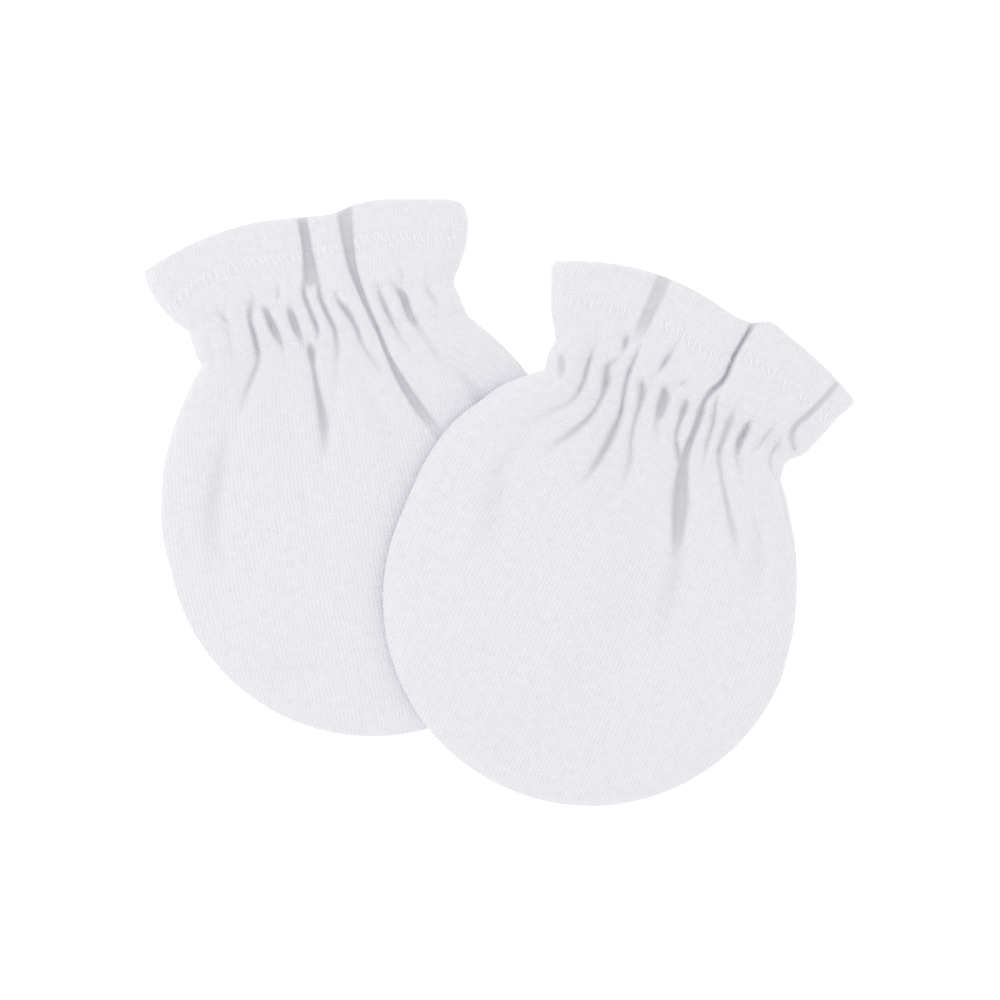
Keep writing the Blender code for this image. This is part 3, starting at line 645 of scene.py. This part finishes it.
def closed_shell(name, outer, inner, texture, outer_up):
    """A wall from its two sides, each a grid of points, with its four narrow edges closed."""
    rows, columns = outer.shape[:2]
    first = np.arange(rows * columns).reshape(rows, columns)
    second = first + rows * columns
    quads = np.stack([first[:-1, :-1], first[:-1, 1:], first[1:, 1:], first[1:, :-1]], axis=-1).reshape(-1, 4)
    faces = [quads, quads[:, ::-1] + rows * columns]
    borders = ((first[0], second[0]), (first[-1][::-1], second[-1][::-1]),
               (first[::-1, 0], second[::-1, 0]), (first[:, -1], second[:, -1]))
    for near, far in borders:
        faces.append(np.stack([near[:-1], far[:-1], far[1:], near[1:]], axis=-1))
    faces = np.vstack(faces)
    if not outer_up:
        faces = faces[:, ::-1]
    points = np.concatenate([outer.reshape(-1, 3), inner.reshape(-1, 3)])
    mesh = bpy.data.meshes.new(name)
    mesh.from_pydata(points, [], faces)
    layer = mesh.uv_layers.new(name="cloth")
    places = np.concatenate([texture.reshape(-1, 2)] * 2)[faces.reshape(-1)]
    layer.data.foreach_set("uv", places.reshape(-1).astype(np.float32))
    mesh.shade_smooth()
    piece = bpy.data.objects.new(name, mesh)
    bpy.context.scene.collection.objects.link(piece)
    return piece


def panel(mitten, front):
    """One panel: its walls, then its hem folded in, as one closed shell of cloth.

    Its "fold" attribute is the share of painted shade inside a crease, from the crease's depth.
    """
    columns, fine = FRONT_GRID if front else BACK_GRID
    x, y = panel_grid(mitten, mitten.creases if front else (), columns, fine)
    outer, inner = wall_grids(mitten, x, y, front)
    turns = [(angle, 0.0) for angle in HEM_ANGLES]
    turns += [(math.pi, HEM_TURN * step / HEM_TURN_ROWS) for step in range(1, HEM_TURN_ROWS + 1)]
    rows = [turned_row(mitten, x[-1], angle, back, front) for angle, back in turns]
    turned_x = np.array([row[0] for row in rows])
    outer_y, outer_h = (np.array([row[1][part] for row in rows]) for part in (0, 1))
    inner_y, inner_h = (np.array([row[2][part] for row in rows]) for part in (0, 1))
    round_fold = np.array([FOLD_RADIUS * angle + back for angle, back in turns])
    lengths = y[-1] + round_fold[:, None]
    all_x = np.vstack([x, turned_x])
    texture = on_cloth(mitten, all_x, np.vstack([y, lengths]))
    outside = in_pair(mitten, all_x, np.vstack([y, outer_y]), np.vstack([outer, outer_h]), front)
    within = in_pair(mitten, all_x, np.vstack([y, inner_y]), np.vstack([inner, inner_h]), front)
    piece = closed_shell(f"{mitten.name}_{side_name(front)}_panel_cloth", outside, within, texture, front)
    # painted shade inside the creases: darker the deeper the crease, half as dark on the hidden inner side
    share = 1.0 if front else BACK_SHARE
    deep = share * crease_drop(mitten.creases, all_x, np.vstack([y, outer_y]), 1.0)
    crease_shade = smoothstep((deep - CREASE_SHADE_START) / CREASE_SHADE_REACH).reshape(-1)
    fold = piece.data.attributes.new("fold", "FLOAT", "POINT")
    fold.data.foreach_set("value", np.concatenate([crease_shade, 0.5 * crease_shade]).astype(np.float32))
    return piece


def elastic_strip(mitten, middle_height, side):
    """A flat strip of elastic across the inside of the wrist."""
    ends = [float(edge(mitten, name, np.array(mitten.wrist))) for name in ("left", "right")]
    across = sum(ends) / 2 + np.linspace(-BAND_HALF_LENGTH, BAND_HALF_LENGTH, 60)
    x, y = np.meshgrid(across, mitten.wrist + np.linspace(0.0, BAND_WIDTH, 12))
    pair_x, pair_y = place(mitten, x, y)
    lifted = middle_height + lay(mitten, x, y)
    top = np.stack([pair_x, pair_y, lifted + BAND / 2], axis=-1) * METRES
    bottom = np.stack([pair_x, pair_y, lifted - BAND / 2], axis=-1) * METRES
    texture = np.stack([x, y], axis=-1) * METRES
    return closed_shell(f"{mitten.name}_{side}_elastic_strip", top, bottom, texture, True)


def thread_mesh(name, paths, radius):
    """Stitches as six-sided tubes along many short paths, thin at both ends, each with its own radius.

    None of them reaches below the table.
    """
    stitches, rings = paths.shape[:2]
    thick = np.broadcast_to(radius, (stitches,))[:, None, None] * METRES
    paths = np.concatenate([paths[..., :2], np.maximum(paths[..., 2:], thick)], axis=-1)
    ahead = np.gradient(paths, axis=1)
    ahead /= np.linalg.norm(ahead, axis=-1, keepdims=True)
    side = np.cross(ahead, (0.0, 0.0, 1.0))
    side /= np.maximum(np.linalg.norm(side, axis=-1, keepdims=True), 1e-9)
    over = np.cross(side, ahead)
    turn = np.radians(60.0 * np.arange(6))[:, None]
    ring = np.cos(turn) * side[:, :, None] + np.sin(turn) * over[:, :, None]
    swell = np.sin(np.linspace(0.35, math.pi - 0.35, rings)) ** 0.6
    points = paths[:, :, None] + thick[..., None] * swell[None, :, None, None] * ring
    first = np.arange(stitches * rings * 6).reshape(stitches, rings, 6)
    nxt = np.roll(first, -1, axis=2)
    quads = np.stack([first[:, :-1], first[:, 1:], nxt[:, 1:], nxt[:, :-1]], axis=-1).reshape(-1, 4)
    caps = [tuple(ends) for ends in first[:, 0].tolist()] + [tuple(ends[::-1]) for ends in first[:, -1].tolist()]
    mesh = bpy.data.meshes.new(name)
    mesh.from_pydata(points.reshape(-1, 3).tolist(), [], quads.tolist() + caps)
    mesh.shade_smooth()
    piece = bpy.data.objects.new(name, mesh)
    bpy.context.scene.collection.objects.link(piece)
    return piece


def stitch_paths(mitten, starts, ends, front, lift):
    """Paths on a panel's outside from each start to its end, bowed up in the middle, out of the deep creases."""
    if front:
        (start_x, start_y), (end_x, end_y) = starts, ends
        shown = crease_drop(mitten.creases, (start_x + end_x) / 2, (start_y + end_y) / 2, 1.0) < STITCH_HIDDEN
        starts, ends = (start_x[shown], start_y[shown]), (end_x[shown], end_y[shown])
    share = np.linspace(0.0, 1.0, STITCH_RINGS)[None, :]
    x = starts[0][:, None] * (1.0 - share) + ends[0][:, None] * share
    y = starts[1][:, None] * (1.0 - share) + ends[1][:, None] * share
    bow = lift * np.sin(math.pi * share) - STITCH_SINK
    return on_outside(mitten, x, y, front, np.broadcast_to(bow, x.shape))


def dashes(places, row_at, length):
    """Starts and ends of stitches along a row at the given places across."""
    high = places + length
    return (places, row_at(places)), (high, row_at(high))


def hem_stitches(mitten, front):
    """The hem's two rows of stitches, and the slanted thread that crosses between them."""
    def upper(x):
        return curve(mitten.stitches, "across", "along", x)

    def lower(x):
        return upper(x) - HEM_STITCH_GAP

    low = float(edge(mitten, "left", np.array(upper(-33.0)))) + 1.0
    high = float(edge(mitten, "right", np.array(upper(31.0)))) - 2.0
    places = np.arange(low, high, HEM_STITCH)
    sway = 0.22 * np.sin(places * 2.3) + 0.16 * np.sin(places * 5.1 + 1.0)
    paths = []
    for row in (upper, lower):
        paths.append(stitch_paths(mitten, *dashes(places, row, 0.8 * HEM_STITCH), front, ROW_LIFT))
    tops, feet = places + sway, places + 0.55 * HEM_STITCH - sway
    rungs = ((tops, upper(tops) - 0.15), (feet, lower(feet) + 0.15))
    paths.append(stitch_paths(mitten, *rungs, front, CROSS_LIFT))
    radii = np.repeat([THREAD, THREAD, CROSS_THREAD], [len(part) for part in paths])
    return thread_mesh(f"{mitten.name}_{side_name(front)}_hem_stitches", np.concatenate(paths), radii)


def band_stitches(mitten, front):
    """One row of stitches along each edge of the elastic."""
    low = float(edge(mitten, "left", np.array(mitten.wrist + 1.0))) + 1.6
    high = float(edge(mitten, "right", np.array(mitten.wrist + 1.0))) - 2.8
    places = np.arange(low, high, BAND_STITCH)
    paths = []
    for part in (0, 1):
        pieces = dashes(places, lambda x, part=part: band_at(mitten, x)[part], 0.66 * BAND_STITCH)
        paths.append(stitch_paths(mitten, *pieces, front, BAND_LIFT))
    return thread_mesh(f"{mitten.name}_{side_name(front)}_wrist_stitches", np.concatenate(paths), THREAD)


def tack_stitches(mitten):
    """A short bar of stitches below the left wrist."""
    start_x, start_y = TACK_PLACE
    places = start_x + TACK_STITCH * np.arange(5)
    pieces = dashes(places, lambda x: start_y + 0.08 * (x - start_x), 1.0)
    paths = stitch_paths(mitten, *pieces, True, TACK_LIFT)
    return thread_mesh(f"{mitten.name}_front_tack_stitches", paths, TACK_THREAD)


def add_node(tree, kind, **settings):
    """A node with its own settings, such as a Math node's operation."""
    node = tree.nodes.new(kind)
    for name, value in settings.items():
        setattr(node, name, value)
    return node


def put(tree, target, value):
    """Give a socket a number or link it to another socket."""
    if isinstance(value, bpy.types.NodeSocket):
        tree.links.new(value, target)
    else:
        target.default_value = value


def math_of(tree, operation, *values):
    """Output of a Math node with its inputs given or linked."""
    node = add_node(tree, "ShaderNodeMath", operation=operation)
    for target, value in zip(node.inputs, values):
        put(tree, target, value)
    return node.outputs[0]


def noise_of(tree, place, scale, detail):
    """Noise around 0.5."""
    node = add_node(tree, "ShaderNodeTexNoise")
    put(tree, node.inputs["Vector"], place)
    put(tree, node.inputs["Scale"], scale)
    put(tree, node.inputs["Detail"], detail)
    return node.outputs["Fac"]


def new_group(name, inputs, outputs):
    """Shader node group with float or vector inputs and float outputs."""
    group = bpy.data.node_groups.new(name, "ShaderNodeTree")
    for socket, kind in inputs:
        group.interface.new_socket(socket, in_out="INPUT", socket_type=kind)
    for socket in outputs:
        group.interface.new_socket(socket, in_out="OUTPUT", socket_type="NodeSocketFloat")
    return group, group.nodes.new("NodeGroupInput").outputs, group.nodes.new("NodeGroupOutput").inputs


def interlock_knit():
    """Rounded wales crossed by rows of V-shaped loops, a little uneven, with a soft fuzz.

    A wale's height is 1 - bend^2, where bend goes from 0 on its middle to 1 between two wales. Its loops
    are a sine along the cloth that is pushed along by bend, which makes the V. Its Shade is painted shade,
    darker between the wales and under the loops where the knit lies lower, with a random fuzz.
    """
    inputs = (("Place", "NodeSocketVector"), ("Wale", "NodeSocketFloat"), ("Course", "NodeSocketFloat"))
    tree, given, result = new_group("interlock_knit", inputs, ("Height", "Shade"))
    parts = add_node(tree, "ShaderNodeSeparateXYZ")
    put(tree, parts.inputs[0], given["Place"])
    stray = noise_of(tree, given["Place"], WANDER_SCALE, 1.0)
    wander = math_of(tree, "MULTIPLY_ADD", stray, KNIT_WANDER, -KNIT_WANDER / 2)
    wale = math_of(tree, "ADD", math_of(tree, "DIVIDE", parts.outputs["X"], given["Wale"]), wander)
    course = math_of(tree, "ADD", math_of(tree, "DIVIDE", parts.outputs["Y"], given["Course"]), wander)
    bend = math_of(tree, "ABSOLUTE", math_of(tree, "MULTIPLY_ADD", math_of(tree, "FRACT", wale), 2.0, -1.0))
    rib = math_of(tree, "SUBTRACT", 1.0, math_of(tree, "MULTIPLY", bend, bend))
    turn = math_of(tree, "MULTIPLY", math_of(tree, "MULTIPLY_ADD", bend, 0.8, course), 2.0 * math.pi)
    loops = math_of(tree, "MULTIPLY_ADD", math_of(tree, "SINE", turn), 0.5, 0.5)
    fuzz = noise_of(tree, given["Place"], FUZZ_SCALE, 2.0)
    worn = math_of(tree, "ADD", noise_of(tree, given["Place"], WEAR_SCALE, 1.0), 0.5)
    height = math_of(tree, "MULTIPLY_ADD", loops, 0.6, math_of(tree, "MULTIPLY", rib, 0.5))
    clear = math_of(tree, "MULTIPLY", height, worn)
    height = math_of(tree, "MULTIPLY_ADD", fuzz, 0.5, clear)
    put(tree, result["Height"], height)
    # painted shade: darker between the wales and under the loops, where the knit lies lower, plus random fuzz
    below = math_of(tree, "SUBTRACT", 1.0, loops)
    between = math_of(tree, "MULTIPLY_ADD", below, 0.6, math_of(tree, "POWER", bend, 3.0))
    dip = math_of(tree, "MULTIPLY", between, worn)
    put(tree, result["Shade"], math_of(tree, "MULTIPLY_ADD", fuzz, 0.2, math_of(tree, "MULTIPLY", dip, 0.62)))
    return tree


def shade_between(tree, share, light, dark):
    """Colour between a light and a darker one."""
    mix = add_node(tree, "ShaderNodeMix", data_type="RGBA")
    put(tree, mix.inputs["Factor"], share)
    put(tree, mix.inputs[6], light)
    put(tree, mix.inputs[7], dark)
    return mix.outputs[2]


def cloth_finish(name, roughness):
    """New material and its Principled shader, rough and with a faint sheen."""
    material = bpy.data.materials.new(name)
    material.use_nodes = True
    shader = material.node_tree.nodes["Principled BSDF"]
    shader.inputs["Roughness"].default_value = roughness
    shader.inputs["Specular IOR Level"].default_value = 0.15
    shader.inputs["Sheen Weight"].default_value = 0.06
    return material, material.node_tree, shader


def add_bump(tree, shader, height, distance, strength):
    """Bump of a height that feeds the shader's normal; distance in metres."""
    bump = add_node(tree, "ShaderNodeBump")
    put(tree, bump.inputs["Height"], height)
    put(tree, bump.inputs["Distance"], distance)
    put(tree, bump.inputs["Strength"], strength)
    put(tree, shader.inputs["Normal"], bump.outputs["Normal"])


def white_cotton(knit):
    """The mittens' cotton: near-white, a touch cool, with the knit following the cloth, painted shade in the knit's
    hollows, and painted shade inside the creases.
    """
    material, tree, shader = cloth_finish("white_cotton", 0.92)
    place_node = add_node(tree, "ShaderNodeUVMap", uv_map="cloth")
    group = add_node(tree, "ShaderNodeGroup", node_tree=knit)
    put(tree, group.inputs["Place"], place_node.outputs[0])
    put(tree, group.inputs["Wale"], WALE)
    put(tree, group.inputs["Course"], COURSE)
    # painted shade of the knit's hollows, with random fuzz
    share = math_of(tree, "MULTIPLY", group.outputs["Shade"], KNIT_SHADE)
    # painted shade inside the creases, read from the panels' fold attribute
    fold = add_node(tree, "ShaderNodeAttribute", attribute_name="fold").outputs["Fac"]
    colour = shade_between(tree, share, COTTON_WHITE, COTTON_SHADE)
    put(tree, shader.inputs["Base Color"], shade_between(tree, fold, colour, COTTON_CREASE_SHADE))
    add_bump(tree, shader, group.outputs["Height"], KNIT_HEIGHT, KNIT_BUMP)
    return material


def ribbed_elastic():
    """The hidden elastic: fine ribs across its length, with painted shade in their valleys."""
    material, tree, shader = cloth_finish("white_elastic", 0.75)
    parts = add_node(tree, "ShaderNodeSeparateXYZ")
    put(tree, parts.inputs[0], add_node(tree, "ShaderNodeUVMap", uv_map="cloth").outputs[0])
    turn = math_of(tree, "MULTIPLY", parts.outputs["Y"], 2.0 * math.pi / ELASTIC_RIB)
    ribs = math_of(tree, "MULTIPLY_ADD", math_of(tree, "SINE", turn), 0.5, 0.5)
    # painted shade: darker in the valleys of the ribs
    put(tree, shader.inputs["Base Color"], shade_between(tree, ribs, ELASTIC_SHADE, ELASTIC_WHITE))
    add_bump(tree, shader, ribs, 2.0 * KNIT_HEIGHT, 0.8)
    return material


def white_thread():
    """Sewing thread, with a fine twist."""
    material, tree, shader = cloth_finish("white_thread", 0.6)
    shader.inputs["Base Color"].default_value = THREAD_WHITE
    place_node = add_node(tree, "ShaderNodeTexCoord")
    twist = noise_of(tree, place_node.outputs["Object"], TWIST_SCALE, 1.0)
    add_bump(tree, shader, twist, TWIST_HEIGHT, 0.5)
    return material


def pale_floor():
    """Plain pale floor under the pair."""
    bpy.ops.mesh.primitive_plane_add(size=FLOOR_SIZE, location=(0.0, 0.0, -FLOOR_DROP))
    floor = bpy.context.object
    floor.name = "floor"
    material = bpy.data.materials.new("pale_floor")
    material.use_nodes = True
    shader = material.node_tree.nodes["Principled BSDF"]
    shader.inputs["Base Color"].default_value = FLOOR_COLOUR
    shader.inputs["Roughness"].default_value = 1.0
    shader.inputs["Specular IOR Level"].default_value = 0.0
    shader.inputs["Emission Color"].default_value = WHITE
    shader.inputs["Emission Strength"].default_value = FLOOR_GLOW
    floor.data.materials.append(material)
    return floor


def soft_light(name, place_at, size, power):
    """Square area light that looks at the middle of the pair."""
    lamp = bpy.data.lights.new(name, "AREA")
    lamp.size, lamp.energy = size, power
    light = bpy.data.objects.new(name, lamp)
    light.location = place_at
    light.rotation_euler = (-Vector(place_at)).to_track_quat("-Z", "Y").to_euler()
    bpy.context.scene.collection.objects.link(light)


def light_and_camera():
    """Even white surroundings, one soft lamp from the upper left, and a camera straight above."""
    scene = bpy.context.scene
    world = bpy.data.worlds.new("white_room")
    world.use_nodes = True
    background = world.node_tree.nodes["Background"]
    background.inputs["Color"].default_value = WHITE
    background.inputs["Strength"].default_value = ROOM_STRENGTH
    scene.world = world
    soft_light("soft_key", KEY_PLACE, KEY_SIZE, KEY_POWER)
    scene.view_settings.view_transform = "Standard"
    lens = bpy.data.cameras.new("camera")
    lens.lens, lens.sensor_width, lens.clip_end = CAMERA_LENS, 36.0, 10.0
    camera = bpy.data.objects.new("camera", lens)
    camera.location = CAMERA_PLACE
    scene.collection.objects.link(camera)
    scene.camera = camera


def finish_piece(piece, material, node):
    """Material and body; the CAD node it stands for is hidden."""
    piece.data.materials.append(material)
    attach(piece, "root")
    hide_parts(node)
    return piece


def build_mitten(mitten, cotton, elastic, thread):
    """Both panels with their stitches, and both strips of elastic."""
    name = mitten.name
    for side, front, strip_height in (("back", False, BACK_BAND_HEIGHT), ("front", True, FRONT_BAND_HEIGHT)):
        node = f"{name}_{side}_panel"
        cloth = finish_piece(panel(mitten, front), cotton, node)
        threads = [hem_stitches(mitten, front), band_stitches(mitten, front)]
        if front and mitten is LEFT:
            threads.append(tack_stitches(mitten))
        for stitches in threads:
            finish_piece(stitches, thread, node)
        finish_piece(elastic_strip(mitten, strip_height, side), elastic, f"{name}_{side}_elastic")


def build():
    """The pair, the floor, the light and the camera."""
    cotton, elastic, thread = white_cotton(interlock_knit()), ribbed_elastic(), white_thread()
    for mitten in (LEFT, RIGHT):
        build_mitten(mitten, cotton, elastic, thread)
    pale_floor()
    light_and_camera()


build()
